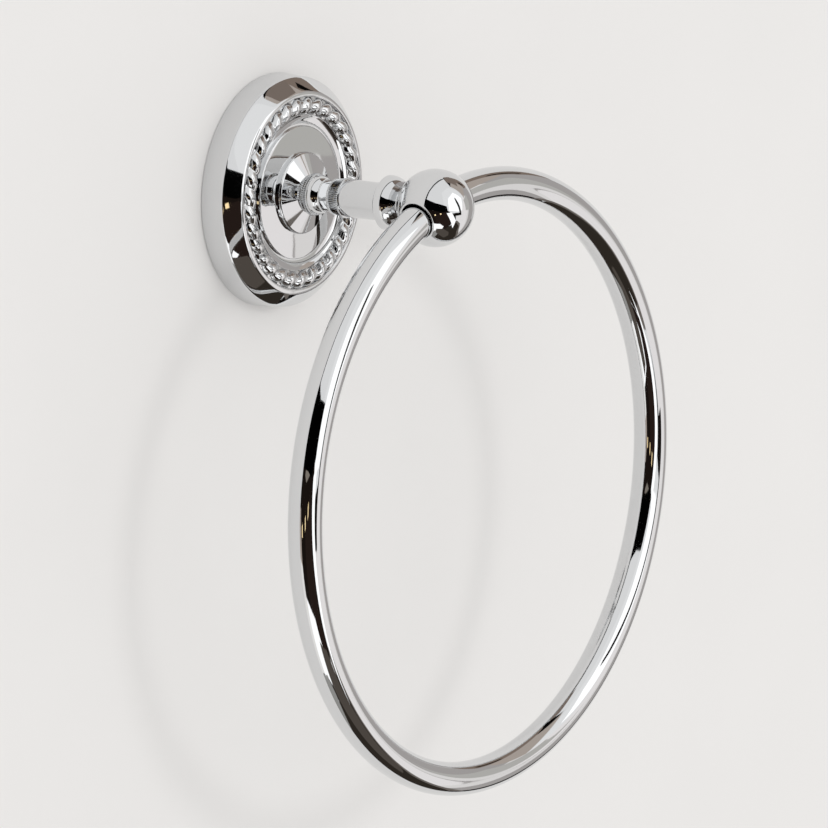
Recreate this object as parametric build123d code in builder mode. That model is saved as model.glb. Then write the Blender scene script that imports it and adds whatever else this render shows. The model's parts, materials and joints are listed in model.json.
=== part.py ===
from build123d import *
from math import pi, sqrt
import os

# Towel ring for a wall. A cast rose with a rope bead carries a turned post, the post
# carries a cross-bored ball, and a closed ring hangs loose in the ball. Behind the rose a
# bracket is screwed to the wall, and a set screw in the rose's underside locks onto it.
# The origin is on the wall, on the rose's axis: +Z is up and the front is -Y.
# Every height is a distance from the wall. All sizes are in millimetres.

# Ring and ball
ring_radius = 78.0
bar_diameter = 8.9
bar_clearance = 0.6
ball_diameter = 20.3
ball_reach = 52.3
mouth_bevel = 0.6

# Rose, from its foot on the wall inwards to the raised face
rose_diameter = 61.2
skirt_height = 5.5
skirt_inset = 1.8
bevel_height = 4.3
bevel_inset = 2.2
lip_width = 1.2
rope_width = 4.8
cove_width = 3.0
cove_rise = 0.9
face_drop = 0.5
floor_drop = 1.0
gutter_drop = 1.4
face_bevel = 0.5
skirt_wall = 2.2
web = 2.0

# Rope bead: fat slanted strands that lie side by side around the rose
strand_pitch = 4.5
strand_thickness = 3.5
strand_sides = 8
strand_slant = 45.0
strand_sink = 0.8
strand_gap = 0.45
strand_end_height = 0.2
strand_knee_inset = 0.35
strand_knee_height = 1.0
strand_crown = 1.2
strand_root = 0.4

# Post, from its foot on the rose to the neck under the ball
foot_radius = 10.75
foot_side = 0.7
foot_bevel = 0.9
foot_rise = 2.0
bead_radius = 5.45
bead_root = 4.9
bead_length = 2.4
bead_bevel = 0.7
collar_radius = 5.2
collar_length = 5.2
waist_radius = 4.3
flare_radius = 5.3
flare_length = 4.0
flare_rim = 0.5
stem_radius = 4.95
flange_radius = 7.2
flange_bevel = 0.7
flange_width = 4.4
flange_front_radius = 5.8
flange_hollow = 0.4
neck_radius = 4.1
neck_length = 1.7
spigot_radius = 3.9
spigot_clearance = 0.1
stud_radius = 2.5
stud_wall = 0.9

# Fixings
thread_clearance = 0.05
post_screw_radius = 2.5
post_screw_grip = 9.0
post_screw_head_radius = 4.4
post_screw_head_height = 2.8
post_screw_socket = 3.0
washer_radius = 5.4
washer_thickness = 1.0
washer_clearance = 0.25
bracket_thickness = 6.0
bracket_clearance = 1.9
bracket_bore = 7.6
wall_screw_radius = 2.25
wall_screw_sink_radius = 4.25
groove_depth = 1.4
set_screw_radius = 2.0
set_screw_height = 3.4
set_screw_recess = 0.6
set_screw_point = 0.4
set_screw_seat = 0.15
set_screw_socket = 2.0
tip_clearance = 0.3

# Worked out from the sizes above
rose_radius = rose_diameter / 2
skirt_top_radius = rose_radius - skirt_inset
lip_radius = skirt_top_radius - bevel_inset
lip_height = skirt_height + bevel_height
rope_outer = lip_radius - lip_width
rope_inner = rope_outer - rope_width
rope_radius = (rope_outer + rope_inner) / 2
face_radius = rope_inner - cove_width
face_height = lip_height - face_drop
floor_height = lip_height - floor_drop
rope_height = lip_height - strand_sink
rope_lobes = round(2 * pi * rope_radius / strand_pitch)
gutter_height = lip_height - gutter_drop
web_height = face_height - web
hollow_radius = lip_radius - skirt_wall
bar_radius = bar_diameter / 2
bore_radius = bar_radius + bar_clearance
ball_radius = ball_diameter / 2
mouth_radius = bore_radius + mouth_bevel
mouth_end = sqrt(ball_radius**2 - mouth_radius**2)
bore_end = mouth_end - mouth_bevel
ball_flat = ball_reach - sqrt(ball_radius**2 - neck_radius**2)
stud_hole_end = ball_reach - bore_radius - stud_wall
bracket_radius = hollow_radius - bracket_clearance
wall_screw_spacing = bracket_radius + bracket_bore

# Turned profiles are drawn as radius along X and distance from the wall along -Y
section = Plane(origin=(0, 0, 0), x_dir=(1, 0, 0), z_dir=(0, 0, -1))


def facing_front(height):
    """A plane parallel to the wall at this height, seen from the front."""
    return Plane(origin=(0, -height, 0), x_dir=(1, 0, 0), z_dir=(0, -1, 0))


# Strand: one faceted rod of the rope bead, slanted across the bead, with both ends bevelled
# down to the bed. X is the rose's radius here, and Z points out of its face.
with BuildPart() as strand:
    with BuildSketch(Plane.YZ.rotated((0, 0, -strand_slant))):
        RegularPolygon(
            strand_thickness / 2,
            strand_sides,
            major_radius=False,
            rotation=180 / strand_sides,
        )
    extrude(amount=2 * rope_width, both=True)
    strand_end = rope_width / 2 - strand_gap
    strand_foot = floor_height - rope_height - strand_root
    with BuildSketch(Plane.XZ):
        with BuildLine():
            Polyline(
                (0, strand_foot),
                (strand_end, strand_foot),
                (strand_end, strand_end_height),
                (strand_end - strand_knee_inset, strand_knee_height),
                (strand_crown / 2, strand_thickness / 2),
                (0, strand_thickness / 2),
            )
            mirror(about=Plane.YZ)
        make_face()
    extrude(amount=3 * rope_width, both=True, mode=Mode.INTERSECT)

# Rose: a hollow cast cup with a bevelled side, a thin lip, the rope bead and a raised face
with BuildPart(facing_front(rope_height)) as rose:
    with BuildSketch(section):
        with BuildLine():
            side = Polyline(
                (rose_radius, 0),
                (skirt_top_radius, skirt_height),
                (lip_radius, lip_height),
                (rope_outer, lip_height),
                (rope_outer, floor_height),
                (rope_inner, floor_height),
                (rope_inner, gutter_height + cove_rise),
            )
            cove = TangentArc((face_radius, gutter_height), side @ 1, tangent=(1, 0))
            Polyline(
                cove @ 0,
                (face_radius, face_height - face_bevel),
                (face_radius - face_bevel, face_height),
                (spigot_radius + spigot_clearance, face_height),
                (spigot_radius + spigot_clearance, web_height),
                (hollow_radius, web_height),
                (rose_radius - skirt_wall, 0),
                (rose_radius, 0),
            )
        make_face()
    revolve(axis=Axis.Y)
    with PolarLocations(rope_radius, rope_lobes):
        add(strand.part)
    with BuildSketch(Plane.XY.offset(-rose_radius)):
        with Locations((0, -set_screw_height)):
            Circle(set_screw_radius + thread_clearance)
    extrude(amount=rose_radius - bracket_radius, mode=Mode.SUBTRACT)
rose.part.label = "rose"

# Post: one turned piece with a foot, beads, a plain stem, a rounded flange and a stud
foot_height = face_height + foot_side + foot_bevel
bead_start = foot_height + foot_rise
collar_start = bead_start + bead_length
waist_height = collar_start + collar_length
flare_end = waist_height + flare_length
neck_start = ball_flat - neck_length
flange_start = neck_start - flange_width
screw_hole_end = web_height + post_screw_grip + tip_clearance
screw_hole_radius = post_screw_radius + thread_clearance
with BuildPart() as post:
    with BuildSketch(section):
        with BuildLine():
            foot = Polyline(
                (0, screw_hole_end),
                (screw_hole_radius, screw_hole_end),
                (screw_hole_radius, web_height),
                (spigot_radius, web_height),
                (spigot_radius, face_height),
                (foot_radius, face_height),
                (foot_radius, face_height + foot_side),
                (foot_radius - foot_bevel, foot_height),
                (bead_root, bead_start),
                (bead_radius, bead_start + bead_bevel),
                (bead_radius, collar_start - bead_bevel),
                (bead_root, collar_start),
                (collar_radius, collar_start),
            )
            collar = TangentArc(foot @ 1, (waist_radius, waist_height), tangent=(0, 1))
            flare = TangentArc(collar @ 1, (flare_radius, flare_end), tangent=(0, 1))
            stem = Polyline(
                flare @ 1,
                (flare_radius, flare_end + flare_rim),
                (stem_radius, flare_end + flare_rim),
                (stem_radius, flange_start),
                (flange_radius - flange_bevel, flange_start),
                (flange_radius, flange_start + flange_bevel),
            )
            front = TangentArc(stem @ 1, (flange_front_radius, neck_start), tangent=(0, 1))
            Polyline(
                front @ 1,
                (neck_radius, neck_start - flange_hollow),
                (neck_radius, ball_flat),
                (stud_radius, ball_flat),
                (stud_radius, stud_hole_end - tip_clearance),
                (0, stud_hole_end - tip_clearance),
                foot @ 0,
            )
        make_face()
    revolve(axis=Axis.Y)
post.part.label = "post"

# Ball: turned about its cross bore, with bevelled mouths, then given a flat and a blind
# threaded hole for the post
with BuildPart() as ball:
    with BuildSketch(Plane((0, -ball_reach, 0))):
        with BuildLine():
            ThreePointArc((mouth_end, mouth_radius), (0, ball_radius), (-mouth_end, mouth_radius))
            Polyline(
                (-mouth_end, mouth_radius),
                (-bore_end, bore_radius),
                (bore_end, bore_radius),
                (mouth_end, mouth_radius),
            )
        make_face()
    revolve(axis=Axis((0, -ball_reach, 0), (1, 0, 0)))
    with BuildSketch(facing_front(ball_flat)):
        Circle(ball_radius)
    extrude(amount=-ball_radius, mode=Mode.SUBTRACT)
    with BuildSketch(facing_front(ball_flat)):
        Circle(stud_radius + thread_clearance)
    extrude(amount=stud_hole_end - ball_flat, mode=Mode.SUBTRACT)
ball.part.label = "ball"

# Ring: a round bar bent to a closed circle. It hangs so that its top, which curves through
# the bore, keeps the same distance above the bore's axis as its ends do below it.
bar_sag = ring_radius - sqrt(ring_radius**2 - bore_end**2)
ring_centre = bar_sag / 2 - ring_radius
with BuildPart() as ring:
    with BuildSketch(Plane.YZ):
        with Locations((-ball_reach, ring_centre + ring_radius)):
            Circle(bar_radius)
    revolve(axis=Axis((0, 0, ring_centre), (0, 1, 0)))
ring.part.label = "ring"

# Wall bracket: a thick cast disc with two countersunk holes and a groove around its edge
groove_radius = bracket_radius - groove_depth
with BuildPart() as wall_bracket:
    with BuildSketch(section):
        with BuildLine():
            Polyline(
                (bracket_bore, 0),
                (bracket_radius, 0),
                (bracket_radius, set_screw_height - groove_depth),
                (groove_radius, set_screw_height),
                (bracket_radius, set_screw_height + groove_depth),
                (bracket_radius, bracket_thickness),
                (bracket_bore, bracket_thickness),
                close=True,
            )
        make_face()
    revolve(axis=Axis.Y)
    with Locations(facing_front(bracket_thickness)):
        with GridLocations(wall_screw_spacing, 1, 2, 1):
            CounterSinkHole(wall_screw_radius, wall_screw_sink_radius)
wall_bracket.part.label = "wall_bracket"

# Post screw: a socket-head screw through the rose's web into the post
head_end = web_height - washer_thickness
head_start = head_end - post_screw_head_height
with BuildPart() as post_screw:
    with BuildSketch(facing_front(head_start)):
        Circle(post_screw_head_radius)
    extrude(amount=post_screw_head_height)
    with BuildSketch(facing_front(head_end)):
        Circle(post_screw_radius)
    extrude(amount=washer_thickness + post_screw_grip)
    with BuildSketch(facing_front(head_start)):
        RegularPolygon(post_screw_socket / 2, 6, major_radius=False)
    extrude(amount=post_screw_head_height / 2, mode=Mode.SUBTRACT)
post_screw.part.label = "post_screw"

# Washer: under the post screw's head
with BuildPart() as washer:
    with BuildSketch(facing_front(head_end)):
        Circle(washer_radius)
        Circle(post_screw_radius + washer_clearance, mode=Mode.SUBTRACT)
    extrude(amount=washer_thickness)
washer.part.label = "washer"

# Set screw: a cone-point screw through the bottom of the rose's skirt into the groove
skirt_slope = skirt_inset / skirt_height
set_screw_foot = rose_radius - skirt_slope * set_screw_height - set_screw_recess
set_screw_tip = groove_radius + set_screw_point + set_screw_seat
cone_start = set_screw_tip + set_screw_radius - set_screw_point
with BuildPart() as set_screw:
    with BuildSketch(Plane.XZ.offset(set_screw_height)):
        with BuildLine():
            Polyline(
                (0, -set_screw_tip),
                (set_screw_point, -set_screw_tip),
                (set_screw_radius, -cone_start),
                (set_screw_radius, -set_screw_foot),
                (0, -set_screw_foot),
                close=True,
            )
        make_face()
    revolve(axis=Axis((0, -set_screw_height, 0), (0, 0, 1)))
    with BuildSketch(Plane.XY.offset(-set_screw_foot)):
        with Locations((0, -set_screw_height)):
            RegularPolygon(set_screw_socket / 2, 6, major_radius=False)
    extrude(amount=(set_screw_foot - cone_start) / 2, mode=Mode.SUBTRACT)
set_screw.part.label = "set_screw"

os.makedirs("parts", exist_ok=True)
for piece in (rose, post, ball, ring, wall_bracket, post_screw, washer, set_screw):
    export_step(piece.part, f"parts/{piece.part.label}.step")
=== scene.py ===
import json
from math import asin, atan2, cos, pi, radians, sin, sqrt

import bmesh
import bpy
from mathutils import Matrix, Vector


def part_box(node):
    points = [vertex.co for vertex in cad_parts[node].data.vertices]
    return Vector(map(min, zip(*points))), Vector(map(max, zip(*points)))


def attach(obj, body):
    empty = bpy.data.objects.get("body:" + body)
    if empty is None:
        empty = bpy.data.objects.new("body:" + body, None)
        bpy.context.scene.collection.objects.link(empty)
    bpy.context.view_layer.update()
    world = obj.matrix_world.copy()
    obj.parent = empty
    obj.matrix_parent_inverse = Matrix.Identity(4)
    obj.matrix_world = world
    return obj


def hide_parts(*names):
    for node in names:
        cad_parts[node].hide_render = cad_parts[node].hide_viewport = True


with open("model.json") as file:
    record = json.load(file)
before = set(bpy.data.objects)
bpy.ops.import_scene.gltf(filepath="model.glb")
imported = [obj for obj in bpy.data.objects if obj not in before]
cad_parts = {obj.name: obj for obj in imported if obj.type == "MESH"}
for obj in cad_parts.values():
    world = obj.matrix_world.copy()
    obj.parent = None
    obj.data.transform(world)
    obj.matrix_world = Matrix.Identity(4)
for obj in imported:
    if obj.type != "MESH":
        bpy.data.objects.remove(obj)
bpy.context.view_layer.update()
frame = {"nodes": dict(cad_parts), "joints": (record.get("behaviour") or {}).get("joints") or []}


# Wall bracket: a thick disc that two screws hold to the wall, inside the rose.
# It is a zinc casting, left as it came from the mould, with machined screw holes.
mm = 0.001


def linear(hex_colour):
    """The linear colour, with alpha, of an sRGB hex value."""
    parts = [int(hex_colour[i:i + 2], 16) / 255 for i in (1, 3, 5)]
    return [p / 12.92 if p <= 0.04045 else ((p + 0.055) / 1.055) ** 2.4 for p in parts] + [1.0]


def add_node(tree, kind, inputs=None, **settings):
    """Adds a node with its settings. Each input is a value, or an output socket to link from."""
    node = tree.nodes.new(kind)
    for name, value in settings.items():
        setattr(node, name, value)
    for name, value in (inputs or {}).items():
        if isinstance(value, bpy.types.NodeSocket):
            tree.links.new(value, node.inputs[name])
        else:
            node.inputs[name].default_value = value
    return node


def new_material(name):
    """An empty material with its output node, and Object coordinates to draw on."""
    material = bpy.data.materials.new(name)
    material.use_nodes = True
    tree = material.node_tree
    tree.nodes.clear()
    output = tree.nodes.new("ShaderNodeOutputMaterial")
    coordinates = tree.nodes.new("ShaderNodeTexCoord").outputs["Object"]
    return material, tree, output, coordinates


# Zinc casting: dull blue-grey, clouded where it cooled unevenly, with a sandy skin.
cloud_size = 5.0
grit_size = 0.35
zinc_casting, tree, output, coordinates = new_material("zinc_casting")
clouds = add_node(
    tree, "ShaderNodeTexNoise",
    {"Vector": coordinates, "Scale": 1 / (cloud_size * mm), "Detail": 4.0},
)
# Inputs 6 and 7 of a mix node are its two colours, and output 2 is the colour that it gives.
tone = add_node(tree, "ShaderNodeMix", {"Factor": clouds.outputs[0]}, data_type="RGBA")
tone.inputs[6].default_value = linear("#6E7174")
tone.inputs[7].default_value = linear("#8F9294")
grit = add_node(
    tree, "ShaderNodeTexNoise",
    {"Vector": coordinates, "Scale": 1 / (grit_size * mm), "Detail": 2.0},
)
skin = add_node(
    tree, "ShaderNodeBump",
    {"Height": grit.outputs[0], "Strength": 0.5, "Distance": 0.06 * mm},
)
shader = add_node(
    tree, "ShaderNodeBsdfPrincipled",
    {"Base Color": tone.outputs[2], "Normal": skin.outputs["Normal"], "Metallic": 0.9, "Roughness": 0.5},
)
tree.links.new(shader.outputs["BSDF"], output.inputs["Surface"])


def finish_node(node, material):
    """Gives a CAD node this material in place of its own."""
    materials = frame["nodes"][node].data.materials
    materials.clear()
    materials.append(material)


finish_node("wall_bracket", zinc_casting)


# Rose: the round plate that hides the bracket. It is cast hollow in brass, with a rope bead
# between a thin lip and a cove, then polished and chrome plated. It pushes over the bracket.
rose_low, rose_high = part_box("rose")
rose_radius = rose_high.x / mm
skirt_height = 6.5
skirt_top_radius = rose_radius - 0.5
lip_radius = rose_radius - 4.4
lip_height = 10.1
bevel_swell = 0.12
rope_outer = lip_radius - 1.2
rope_inner = rope_outer - 4.6
rope_radius = (rope_outer + rope_inner) / 2
rope_height = lip_height - 0.7
channel_height = rope_height - 0.25
rim_height = lip_height - 0.6
cove_corner_radius = rope_inner - 1.5
cove_height = lip_height - 1.6
face_radius = rope_inner - 2.9
face_edge_height = lip_height - 1.0
face_crown_height = lip_height - 0.5
face_height = 9.3
foot_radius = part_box("post")[1].x / mm
lock_low, lock_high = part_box("set_screw")
lock_hole_radius = (lock_high.x - lock_low.x) / 2 + 0.05 * mm
hub_bore = 4.0
web_height = face_height - 2.0
hollow_radius = lip_radius - 2.2
skirt_wall = 2.2
rose_steps = 768
rope_half_width = 2.2
rope_crest = 1.95
rope_crease = 0.8
rope_strands = 1.25
rope_lobes = 32
rope_points = 44
lobe_fullness = 0.6
rope_margin = 0.01
seam_gap = 0.0005
foot_gap = 0.1
lock_hole_depth = 10.0
wall_edge_round = 0.2
skirt_edge_round = 0.35
bevel_round = 2.0
lip_round = 0.5
rim_round = 0.2
cove_round = 1.2
face_edge_round = 0.4
face_dome_round = 2.6
long_arc_segments = 12


def chain(bm, points):
    """Joins points, given as radius and distance from the wall in mm, by a chain of edges."""
    corners = [bm.verts.new((radius * mm, -reach * mm, 0)) for radius, reach in points]
    for start, end in zip(corners, corners[1:]):
        bm.edges.new((start, end))
    return corners


def soften(bm, corners, reach, segments=6):
    """Rounds these corners of a chain, from this many mm before each to as far after it."""
    bmesh.ops.bevel(
        bm, geom=corners, offset=reach * mm, offset_type="OFFSET", affect="VERTICES",
        segments=segments, profile=0.5, material=-1,
    )


def swing(bm, tip, centre, angle, steps):
    """Carries the chain on from its tip by an arc about a centre given in mm."""
    turned_geometry = bmesh.ops.spin(
        bm, geom=[tip], cent=(centre[0] * mm, -centre[1] * mm, 0), axis=(0, 0, 1),
        dvec=(0, 0, 0), angle=angle, steps=steps,
    )
    return turned_geometry["geom_last"][0]


def turn(bm, steps, axis=(0, 1, 0), centre=(0, 0, 0)):
    """Spins the chain right round, closes its seam and poles, and points its faces outwards."""
    bmesh.ops.spin(
        bm, geom=bm.verts[:] + bm.edges[:], cent=centre, axis=axis, dvec=(0, 0, 0),
        angle=2 * pi, steps=steps, use_merge=True,
    )
    bmesh.ops.remove_doubles(bm, verts=bm.verts, dist=seam_gap * mm)
    bmesh.ops.recalc_face_normals(bm, faces=bm.faces)


def new_piece(name, bm, material, body, node, sharp_angle=40):
    """Makes the piece, smooth apart from its sharp corners, that stands for a CAD node on a body."""
    mesh = bpy.data.meshes.new(name)
    for face in bm.faces:
        face.smooth = True
    bm.to_mesh(mesh)
    bm.free()
    mesh.set_sharp_from_angle(angle=radians(sharp_angle))
    mesh.materials.append(material)
    piece = bpy.data.objects.new(name, mesh)
    bpy.context.scene.collection.objects.link(piece)
    normals = piece.modifiers.new("flat_faces_stay_flat", "WEIGHTED_NORMAL")
    normals.keep_sharp = True
    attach(piece, body)
    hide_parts(node)
    return piece


def drill(bm, centre, radius, depth):
    """Drills a round hole, upwards from below, by cutting a bar's shape out of the piece."""
    bar = bmesh.new()
    bmesh.ops.create_cone(
        bar, cap_ends=True, segments=64, radius1=radius, radius2=radius, depth=depth,
        matrix=Matrix.Translation(centre),
    )
    shapes = []
    for name, shape in (("blank", bm), ("bar", bar)):
        mesh = bpy.data.meshes.new(name)
        shape.to_mesh(mesh)
        shape.free()
        shapes.append(bpy.data.objects.new(name, mesh))
        bpy.context.scene.collection.objects.link(shapes[-1])
    blank, cutter = shapes
    cut = blank.modifiers.new("cut", "BOOLEAN")
    cut.operation = "DIFFERENCE"
    cut.solver = "EXACT"
    cut.object = cutter
    drilled = blank.evaluated_get(bpy.context.evaluated_depsgraph_get())
    result = bmesh.new()
    result.from_mesh(drilled.to_mesh())
    drilled.to_mesh_clear()
    for shape in shapes:
        mesh = shape.data
        bpy.data.objects.remove(shape)
        bpy.data.meshes.remove(mesh)
    return result


# Chrome plate: a cool mirror. The polish under it leaves a faint long ripple, and handling
# leaves patches that are a little less sharp.
ripple_size = 7.0
smear_size = 16.0
chrome_plate, tree, output, coordinates = new_material("chrome_plate")
smears = add_node(
    tree, "ShaderNodeTexNoise",
    {"Vector": coordinates, "Scale": 1 / (smear_size * mm), "Detail": 3.0},
)
polish = add_node(
    tree, "ShaderNodeMapRange",
    {"Value": smears.outputs[0], "From Min": 0.35, "From Max": 0.7, "To Min": 0.02, "To Max": 0.06},
)
ripple = add_node(
    tree, "ShaderNodeTexNoise",
    {"Vector": coordinates, "Scale": 1 / (ripple_size * mm), "Detail": 1.0},
)
ripple_bump = add_node(
    tree, "ShaderNodeBump",
    {"Height": ripple.outputs[0], "Strength": 0.25, "Distance": 0.02 * mm},
)
shader = add_node(
    tree, "ShaderNodeBsdfPrincipled",
    {
        "Base Color": linear("#DCDDDE"), "Metallic": 1.0, "Roughness": polish.outputs["Result"],
        "Normal": ripple_bump.outputs["Normal"],
    },
)
tree.links.new(shader.outputs["BSDF"], output.inputs["Surface"])

bm = bmesh.new()
outside = chain(bm, [
    (rose_radius - skirt_wall, 0),
    (rose_radius, 0),
    (skirt_top_radius, skirt_height),
    ((skirt_top_radius + lip_radius) / 2 + bevel_swell, (skirt_height + lip_height) / 2 + bevel_swell),
    (lip_radius, lip_height),
    (rope_outer, lip_height),
    (rope_outer, channel_height),
    (rope_radius + rope_half_width, channel_height),
])
rope_dip = asin((rope_height - channel_height) / rope_half_width)
rope_end = swing(bm, outside[-1], (rope_radius, rope_height), -(pi + 2 * rope_dip), rope_points)
inside = chain(bm, [
    (rope_inner, channel_height),
    (rope_inner, rim_height),
    (cove_corner_radius, cove_height),
    (face_radius, cove_height),
    (face_radius, face_edge_height),
    ((face_radius + foot_radius) / 2, (face_edge_height + 2 * face_crown_height) / 3),
    (foot_radius - foot_gap, face_crown_height),
    (foot_radius - foot_gap, face_height),
    (hub_bore, face_height),
    (hub_bore, web_height),
    (hollow_radius, web_height),
])
bm.edges.new((rope_end, inside[0]))
bm.edges.new((inside[-1], outside[0]))
soften(bm, outside[1:2], wall_edge_round)
soften(bm, outside[2:3], skirt_edge_round)
soften(bm, outside[3:4], bevel_round, segments=long_arc_segments)
soften(bm, outside[4:6], lip_round)
soften(bm, inside[1:2], rim_round)
soften(bm, inside[2:3], cove_round)
soften(bm, inside[4:5], face_edge_round)
soften(bm, inside[5:6], face_dome_round, segments=long_arc_segments)
turn(bm, rose_steps)
for v in bm.verts:
    reach = -v.co.y / mm - rope_height
    radius = sqrt(v.co.x ** 2 + v.co.z ** 2) / mm
    across = radius - rope_radius
    above_channel = reach > channel_height - rope_height - rope_margin
    if above_channel and abs(across) < rope_half_width + rope_margin:
        around = atan2(v.co.z, v.co.x)
        slant = atan2(reach, across)
        lobe = (0.5 + 0.5 * cos(rope_strands * slant - rope_lobes * around)) ** lobe_fullness
        swell = 1 - rope_crease / rope_half_width * (1 - lobe)
        new_radius = rope_radius + across * swell
        v.co.x *= new_radius / radius
        v.co.z *= new_radius / radius
        v.co.y = -(rope_height + reach * swell * rope_crest / rope_half_width) * mm
bmesh.ops.recalc_face_normals(bm, faces=bm.faces)
lock_centre = (lock_low + lock_high) / 2
bm = drill(bm, (lock_centre.x, lock_centre.y, rose_low.z), lock_hole_radius, lock_hole_depth * mm)
new_piece("chrome_rose", bm, chrome_plate, "fixture", "rose", sharp_angle=75)


# Post screw, washer and set screw: bought steel fasteners, zinc plated. The first clamps the
# post from behind, and the last locks the rose onto the bracket from below.
# Zinc plating: pale grey with a slight yellow cast, and fine rings from the lathe.
ring_pitch = 0.25
plating_cloud_size = 2.0
zinc_plating, tree, output, coordinates = new_material("zinc_plated_steel")
lathe_rings = add_node(
    tree, "ShaderNodeTexWave",
    {"Vector": coordinates, "Scale": 1 / (ring_pitch * mm) / (2 * pi), "Distortion": 0.4},
    wave_type="RINGS", rings_direction="Y",
)
ring_bump = add_node(
    tree, "ShaderNodeBump",
    {"Height": lathe_rings.outputs[0], "Strength": 0.3, "Distance": 0.02 * mm},
)
plating = add_node(
    tree, "ShaderNodeTexNoise",
    {"Vector": coordinates, "Scale": 1 / (plating_cloud_size * mm), "Detail": 3.0},
)
plating_tone = add_node(tree, "ShaderNodeMix", {"Factor": plating.outputs[0]}, data_type="RGBA")
plating_tone.inputs[6].default_value = linear("#A9A89F")
plating_tone.inputs[7].default_value = linear("#C9C8C0")
shader = add_node(
    tree, "ShaderNodeBsdfPrincipled",
    {
        "Base Color": plating_tone.outputs[2], "Metallic": 1.0, "Roughness": 0.32,
        "Normal": ring_bump.outputs["Normal"],
    },
)
tree.links.new(shader.outputs["BSDF"], output.inputs["Surface"])
for fastener in ("post_screw", "washer", "set_screw"):
    finish_node(fastener, zinc_plating)


# Post: one brass bar turned on a lathe to a foot, a bead, a collar, a flare, a plain stem and
# a rounded flange, then chrome plated. A screw from behind holds it on the rose.
joint = frame["joints"][0]
ball_reach = -joint["pos_m"][1] / mm
ball_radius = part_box("ball")[1].z / mm
foot_height = face_height + 1.35
spigot_radius = 3.9
screw_hole_radius = 2.55
screw_hole_end = web_height + 9.3
bead_start = foot_height + 2.25
bead_root = 4.9
bead_radius = 5.5
bead_slope = 0.1
bead_plain_edge = 0.3
collar_start = bead_start + 2.4
collar_radius = 5.3
collar_shoulder = 4.9
waist_height = collar_start + 2.4
waist_radius = 4.05
shoulder_height = (collar_start + 1.5 * waist_height) / 2.5
milling_start = collar_start + 5.4
milling_root = 4.75
milling_step = 0.15
flare_end = milling_start + 3.6
flare_radius = 5.3
flare_rim = 0.5
flare_plain_start = 0.4
flare_plain_end = 0.05
flare_lowest = 0.2
ridges = 60
ridge_depth = 0.26
post_steps = 480
stem_radius = 4.95
neck_radius = 4.1
ball_flat = ball_reach - sqrt(ball_radius ** 2 - neck_radius ** 2)
neck_start = ball_flat - 1.7
flange_start = neck_start - 4.4
flange_radius = 7.2
flange_bevel = 0.7
flange_front_radius = 5.8
flange_hollow = 0.4
foot_round = 0.5
bead_round = 0.9
shoulder_round = 0.85
waist_round = 0.4
flare_rim_round = 0.2
flange_back_round = 0.4
bend_steps = 14
stud_radius = 2.5
stud_end = -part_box("post")[0].y / mm


def bend(bm, tip, radius, reach, steps):
    """Carries the chain on to a point by an arc that leaves its tip along the post."""
    start_radius = tip.co.x / mm
    start_reach = -tip.co.y / mm
    inwards = start_radius - radius
    along = reach - start_reach
    arc_radius = (inwards ** 2 + along ** 2) / (2 * inwards)
    turn_angle = asin(along / abs(arc_radius))
    sense = -1 if inwards > 0 else 1
    return swing(bm, tip, (start_radius - arc_radius, start_reach), sense * turn_angle, steps)


bm = bmesh.new()
foot = chain(bm, [
    (0, screw_hole_end),
    (screw_hole_radius, screw_hole_end),
    (screw_hole_radius, web_height),
    (spigot_radius, web_height),
    (spigot_radius, face_height),
    (foot_radius, face_height),
    (foot_radius, foot_height),
    (bead_root, bead_start),
    (bead_radius, bead_start + bead_slope),
    (bead_radius, collar_start - bead_slope),
    (bead_root, collar_start),
    (collar_radius, collar_start),
    (collar_shoulder, shoulder_height),
    (waist_radius, waist_height),
    (waist_radius, milling_start),
    (milling_root, milling_start + milling_step),
])
flare = bend(bm, foot[-1], flare_radius, flare_end, bend_steps)
stem = chain(bm, [
    (flare_radius, flare_end + flare_rim),
    (stem_radius, flare_end + flare_rim),
    (stem_radius, flange_start),
    (flange_radius - flange_bevel, flange_start),
    (flange_radius, flange_start + flange_bevel),
])
front = bend(bm, stem[-1], flange_front_radius, neck_start, bend_steps)
neck = chain(bm, [
    (neck_radius, neck_start - flange_hollow),
    (neck_radius, ball_flat),
    (stud_radius, ball_flat),
    (stud_radius, stud_end),
    (0, stud_end),
])
bm.edges.new((flare, stem[0]))
bm.edges.new((front, neck[0]))
soften(bm, foot[6:7], foot_round, segments=8)
soften(bm, foot[8:10], bead_round, segments=8)
soften(bm, foot[12:13], shoulder_round, segments=10)
soften(bm, foot[13:14], waist_round)
soften(bm, stem[0:1], flare_rim_round)
soften(bm, stem[3:4], flange_back_round)
turn(bm, post_steps)
for v in bm.verts:
    radius = sqrt(v.co.x ** 2 + v.co.z ** 2) / mm
    reach = -v.co.y / mm
    along_bead = bead_start + bead_plain_edge < reach < collar_start - bead_plain_edge
    along_flare = milling_start + flare_plain_start < reach < flare_end + flare_rim - flare_plain_end
    on_bead = along_bead and radius > bead_root
    on_flare = along_flare and radius > stem_radius - flare_lowest
    if on_bead or on_flare:
        ridge = ridge_depth * (0.5 - 0.5 * cos(ridges * atan2(v.co.z, v.co.x)))
        v.co.x *= 1 - ridge / radius
        v.co.z *= 1 - ridge / radius
new_piece("chrome_post", bm, chrome_plate, "fixture", "post")


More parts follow.
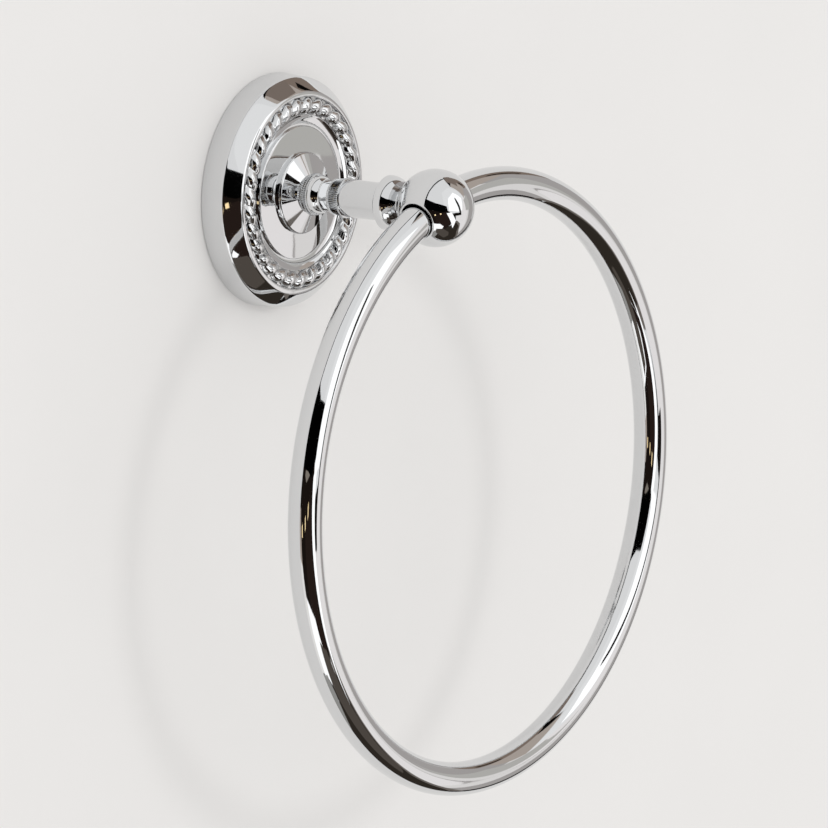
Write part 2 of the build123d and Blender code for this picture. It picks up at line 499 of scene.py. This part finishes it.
# Ball: a solid brass ball, cross-bored for the ring and faced flat round each mouth, with a
# flat and a threaded hole for the post's stud. It is chrome plated inside and out.
ring_low, ring_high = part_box("ring")
bar_radius = (ring_high.y - ring_low.y) / 2 / mm
bar_play = 0.32
bore_radius = bar_radius + bar_play
facing_width = 0.45
facing_radius = bore_radius + facing_width
mouth_round = 0.2
mouth_reach = sqrt(ball_radius ** 2 - facing_radius ** 2)
skin_start = asin(facing_radius / ball_radius) + 1.5 * mouth_round / ball_radius
skin_steps = 96
ball_steps = 192
bm = bmesh.new()
section = [
    bm.verts.new((x * mm, (radius - ball_reach) * mm, 0))
    for x, radius in (
        (-mouth_reach, facing_radius),
        (-mouth_reach, bore_radius),
        (mouth_reach, bore_radius),
        (mouth_reach, facing_radius),
        (ball_radius * cos(skin_start), ball_radius * sin(skin_start)),
    )
]
skin_end = swing(bm, section[-1], (0, ball_reach), pi - 2 * skin_start, skin_steps)
for start, end in zip([skin_end] + section, section):
    bm.edges.new((start, end))
soften(bm, section[0:4], mouth_round)
turn(bm, ball_steps, axis=(1, 0, 0), centre=(0, -ball_reach * mm, 0))
cut = bmesh.ops.bisect_plane(
    bm, geom=bm.verts[:] + bm.edges[:] + bm.faces[:], plane_co=(0, -ball_flat * mm, 0),
    plane_no=(0, 1, 0), clear_outer=True,
)
rim = [e for e in cut["geom_cut"] if isinstance(e, bmesh.types.BMEdge)]
flat = bmesh.ops.edgeloop_fill(bm, edges=rim)["faces"]
bmesh.ops.inset_region(bm, faces=flat, thickness=(neck_radius - stud_radius) * mm, use_even_offset=True)
hole = bmesh.ops.extrude_discrete_faces(bm, faces=flat)["faces"]
bmesh.ops.translate(bm, verts=hole[0].verts, vec=(0, -(stud_end - ball_flat) * mm, 0))
bmesh.ops.recalc_face_normals(bm, faces=bm.faces)
new_piece("chrome_ball", bm, chrome_plate, "fixture", "ball")


# Ring: a round brass bar bent to a circle, brazed shut, polished and chrome plated. It is
# threaded through the ball before it is closed, and hangs loose there.
ring_centre = (ring_low + ring_high) / 2
bar_points = 56
ring_steps = 384
bar_circle_radius = min(ring_high.x - ring_low.x, ring_high.z - ring_low.z) / 2 - bar_radius * mm
bm = bmesh.new()
bar_top = ring_centre + Vector((0, 0, bar_circle_radius))
bmesh.ops.create_circle(
    bm, segments=bar_points, radius=bar_radius * mm,
    matrix=Matrix.Translation(bar_top) @ Matrix.Rotation(pi / 2, 4, "Y"),
)
turn(bm, ring_steps, centre=ring_centre)
new_piece("chrome_ring", bm, chrome_plate, "ring", "ring")


# Wall: painted plaster behind the rose. It stops just inside the rose's edge, and can't be
# seen from behind, so that the back of the rose is open to view.
# Painted plaster: a matt warm white, with faint broad marks from the roller.
roller_mark_size = 60.0
wall_paint, tree, output, coordinates = new_material("painted_plaster")
roller_marks = add_node(
    tree, "ShaderNodeTexNoise",
    {"Vector": coordinates, "Scale": 1 / (roller_mark_size * mm), "Detail": 3.0},
)
paint_tone = add_node(tree, "ShaderNodeMix", {"Factor": roller_marks.outputs[0]}, data_type="RGBA")
paint_tone.inputs[6].default_value = linear("#EBE9E7")
paint_tone.inputs[7].default_value = linear("#EFEDEB")
paint = add_node(tree, "ShaderNodeBsdfDiffuse", {"Color": paint_tone.outputs[2]})
seen_from_behind = add_node(tree, "ShaderNodeNewGeometry").outputs["Backfacing"]
clear = add_node(tree, "ShaderNodeBsdfTransparent")
one_sided = add_node(
    tree, "ShaderNodeMixShader",
    {0: seen_from_behind, 1: paint.outputs[0], 2: clear.outputs[0]},
)
tree.links.new(one_sided.outputs[0], output.inputs["Surface"])
wall_gap = 0.1 * mm
wall_hole_radius = (rose_radius - 1.0) * mm
wall_radius = 4.0
wall_points = 96
bm = bmesh.new()
facing = Matrix.Translation((0, wall_gap, 0)) @ Matrix.Rotation(pi / 2, 4, "X")
for radius in (wall_hole_radius, wall_radius):
    bmesh.ops.create_circle(bm, segments=wall_points, radius=radius, matrix=facing)
bmesh.ops.bridge_loops(bm, edges=bm.edges[:])
for face in bm.faces:
    face.normal_update()
    if face.normal.y > 0:
        face.normal_flip()
mesh = bpy.data.meshes.new("wall")
bm.to_mesh(mesh)
bm.free()
mesh.materials.append(wall_paint)
wall = bpy.data.objects.new("wall", mesh)
bpy.context.scene.collection.objects.link(wall)


# Studio: an even pale light all round, one soft lamp in front, and cards that only the chrome
# can see: white panels for daylight, and dark and brown flags that give the metal its contrast.
world = bpy.data.worlds.new("studio_light")
bpy.context.scene.world = world
world.use_nodes = True
background = world.node_tree.nodes["Background"].inputs
background["Color"].default_value = linear("#FFFFFF")
background["Strength"].default_value = 0.91


def towards(azimuth, elevation):
    """The direction at this azimuth from the front and this elevation, in degrees."""
    azimuth, elevation = radians(azimuth), radians(elevation)
    return Vector((sin(azimuth) * cos(elevation), -cos(azimuth) * cos(elevation), sin(elevation)))


ball_centre = Vector((0, -ball_reach * mm, 0))
lamp_azimuth = 8
lamp_elevation = 16
lamp_direction = towards(lamp_azimuth, lamp_elevation)
lamp_distance = 2.2
lamp_data = bpy.data.lights.new("soft_lamp", "AREA")
lamp_data.size = 0.42
lamp_data.energy = 4.0
lamp = bpy.data.objects.new("soft_lamp", lamp_data)
lamp.location = ball_centre + lamp_distance * lamp_direction
lamp.rotation_euler = lamp_direction.to_track_quat("Z", "Y").to_euler()
lamp.visible_glossy = False
bpy.context.scene.collection.objects.link(lamp)

card_cuts = 5
cards = bmesh.new()
card_materials = []


def card(name, colour, strength, origin, distance, corners):
    """Adds a glowing card that spans these directions from the origin, fanned from the first."""
    material, tree, output = new_material(name)[:3]
    glow = add_node(tree, "ShaderNodeEmission", {"Color": linear(colour), "Strength": strength})
    tree.links.new(glow.outputs[0], output.inputs["Surface"])
    card_materials.append(material)
    bm = bmesh.new()
    verts = [bm.verts.new(towards(*corner)) for corner in corners]
    for second, third in zip(verts[1:], verts[2:]):
        bm.faces.new((verts[0], second, third))
    bmesh.ops.subdivide_edges(bm, edges=bm.edges[:], cuts=card_cuts, use_grid_fill=True)
    for v in bm.verts:
        v.co = origin + distance * v.co.normalized()
    for face in bm.faces:
        face.material_index = len(card_materials) - 1
    mesh = bpy.data.meshes.new(name)
    bm.to_mesh(mesh)
    bm.free()
    cards.from_mesh(mesh)
    bpy.data.meshes.remove(mesh)


rose_centre = Vector((0, 0, 0))
rose_top = Vector((0, 0, rose_radius * mm))
card("dark_floor", "#2D2823", 1.3, ring_centre, 1.6, [
    (0, -89), (-89, -62), (-70, -57), (-48, -50), (-20, -38), (8, -33), (22, -44), (32, -58),
    (60, -64), (89, -66),
])
card("grey_side", "#A09C9A", 1.3, ball_centre, 2.5, [
    (70, -20), (50, -62), (88, -66), (88, 30), (78, 15), (50, 5), (50, -62),
])
card("half_pale_side", "#DCD9D7", 1.25, ball_centre, 2.45, [
    (51, -30), (47, -62), (56, -62), (57, 8), (47, 4),
])
card("grey_rail", "#AFADA9", 1.3, ball_centre, 2.4, [
    (52, -8), (43, -17), (62, -20), (64, 4), (44, 4), (43, -17),
])
card("dark_skirting", "#14110F", 1.0, ball_centre, 2.3, [
    (84, -46), (89.9, -32), (84, -35), (78, -50), (76, -66), (89.9, -68), (89.9, -32),
])
card("brown_corner", "#A69C94", 1.3, ball_centre, 2.5, [
    (60, 30), (50, 5), (78, 15), (88, 30), (74, 50), (47, 44), (50, 5),
])
card("brown_door", "#776A61", 1.35, ball_centre, 2.0, [
    (82, 30), (89.8, 49), (80, 47), (74, 40), (76, 8), (89.8, 0), (89.8, 49),
])
card("black_corner", "#0B0A09", 1.0, ball_centre, 2.1, [
    (70, 46), (47, 45), (66, 52), (89.8, 51), (89.8, 48), (74, 41), (47, 45),
])
card("brown_cupboard", "#7A6E66", 1.2, rose_top, 0.22, [
    (47.5, 43), (49.5, 16), (66, 20), (75, 27), (73, 42),
])
card("black_frame", "#0B0A09", 1.0, ball_centre, 1.9, [
    (77, 21), (81, 21), (84, 9), (80, 9),
])
card("window_haze", "#FFFFFF", 0.98, ball_centre, 3.2, [
    (10, 20), (-26, 4), (-20, 36), (-6, 56), (36, 52), (50, 12), (38, -18), (12, -14), (-26, 4),
])
card("window", "#FFFFFF", 1.45, ball_centre, 3.0, [
    (10, 15), (-14, 3), (-9, 23), (0, 34), (29, 36), (40, 12), (28, -12), (12, -9), (-14, 3),
])
card("pale_side", "#F0ECEB", 1.15, ball_centre, 3.1, [
    (38, -25), (22, -60), (6, -18), (24, -12), (46, 10), (51, 5), (51, -62), (22, -60),
])
card("window_post", "#15120F", 1.0, ball_centre, 2.7, [
    (16, 14), (19, 26), (22, 22), (24, -21), (18, -19),
])
card("window_rail", "#15120F", 1.0, ball_centre, 2.65, [
    (-6, -8), (6, -10), (23, -15), (23, -21), (4, -17), (3, -29), (-2, -14),
])
card("floor_edge", "#6C6661", 1.25, ring_centre, 1.7, [
    (10, -60), (-10, -31), (8, -28), (24, -38), (36, -53), (62, -60), (89, -62),
])
card("cornice_top", "#3A3836", 1.0, ball_centre, 2.9, [
    (-45, 83), (40, 84), (72, 74), (84, 53), (89, 52), (84, 76), (60, 87), (-60, 86),
])
card("cornice", "#3A3836", 1.0, ball_centre, 2.9, [
    (-89, 44), (-83, 46), (-76, 72), (-45, 83), (-60, 86), (-86, 74),
])
card("dark_cabinet", "#1A1411", 1.2, ring_centre, 1.3, [
    (-50, -8), (-89, 37), (-60, 34), (-40, 26), (-24, 14), (-14, 4), (-8, -10), (-5, -30),
    (-20, -38), (-48, -50), (-89, -56), (-89, 37),
])
card("brown_shelf", "#2A201C", 1.0, ring_centre, 1.27, [
    (-45, -14), (-56, 4), (-30, 6), (-16, -4), (-10, -28), (-22, -36), (-48, -48), (-58, -20), (-56, 4),
])
card("grey_shelf", "#80786F", 1.2, ring_centre, 1.25, [
    (-55, 26), (-68, 33), (-60, 33), (-44, 25), (-34, 14), (-60, 18), (-70, 22), (-68, 33),
])
card("black_flag", "#030303", 1.0, ball_centre, 0.62, [
    (-50, 24), (-89, 49), (-66, 43), (-48, 35), (-30, 26), (-17, 17), (-18, 3), (-34, 5), (-56, 14),
    (-89, 20), (-89, 49),
])
card("white_panel_left", "#FFFFFF", 1.4, ring_centre, 1.15, [
    (-60, -34), (-78, -16), (-66, -19), (-46, -24), (-36, -35), (-48, -47), (-64, -44), (-78, -44),
    (-78, -16),
])
card("white_strip_left", "#E6E4E1", 1.25, ring_centre, 1.1, [
    (-84, -30), (-89.5, -3), (-80, -6), (-77, -20), (-77, -43), (-89.5, -43), (-89.5, -3),
])
card("grey_panel_left", "#8E8D8A", 1.3, ring_centre, 1.12, [
    (-74, -50), (-89.5, -43), (-64, -43), (-56, -50), (-66, -60), (-89.5, -68), (-89.5, -43),
])
card("grey_mat", "#57504A", 1.0, rose_centre, 0.3, [
    (-50, -36), (-30, -38), (-10, -50), (-2, -60), (-14, -68), (-36, -60), (-52, -48),
])
card("brown_strip_left", "#A3978F", 1.25, ring_centre, 1.1, [
    (-89.5, 13), (-84, 13), (-80, 4), (-80, -6), (-89.5, -3),
])
card("white_panel_low", "#FFFFFF", 1.5, ball_centre, 0.5, [
    (-12, -16), (-23, -1), (-8, -4), (3, -29), (-3, -49), (-14, -26), (-23, -1),
])
for glow_azimuth in (-74, -56, -40):
    card("warm_lamp", "#FFE2AE", 1.4, ring_centre, 1.2, [
        (glow_azimuth - 2, 3), (glow_azimuth + 2, 3), (glow_azimuth + 2, 7), (glow_azimuth - 2, 7),
    ])
mesh = bpy.data.meshes.new("studio_cards")
cards.to_mesh(mesh)
cards.free()
for material in card_materials:
    mesh.materials.append(material)
studio_cards = bpy.data.objects.new("studio_cards", mesh)
studio_cards.visible_camera = False
studio_cards.visible_diffuse = False
studio_cards.visible_shadow = False
bpy.context.scene.collection.objects.link(studio_cards)


# Camera: a long lens from the left, above and in front, a little tilted. The ball's centre
# falls close to where it does in the photograph.
image_size = 828
focal_length = 9040
ball_pixel = (435.4, 207.9)
camera_distance = 2.322
camera_azimuth = -51.55
camera_elevation = 23.08
camera_tilt = radians(-9.89)
sensor_width = 36.0
back = towards(camera_azimuth, camera_elevation)
level_right = Vector((0, 0, 1)).cross(back).normalized()
level_up = back.cross(level_right)
right = cos(camera_tilt) * level_right + sin(camera_tilt) * level_up
up = back.cross(right)
aside = (ball_pixel[0] - image_size / 2) / focal_length * camera_distance
above = (image_size / 2 - ball_pixel[1]) / focal_length * camera_distance
camera_data = bpy.data.cameras.new("camera")
camera_data.sensor_width = sensor_width
camera_data.lens = focal_length / image_size * sensor_width
camera = bpy.data.objects.new("camera", camera_data)
place = Matrix((right, up, back)).transposed().to_4x4()
place.translation = ball_centre + camera_distance * back - aside * right - above * up
camera.matrix_world = place
bpy.context.scene.collection.objects.link(camera)
bpy.context.scene.camera = camera
bpy.context.scene.view_settings.view_transform = "Standard"
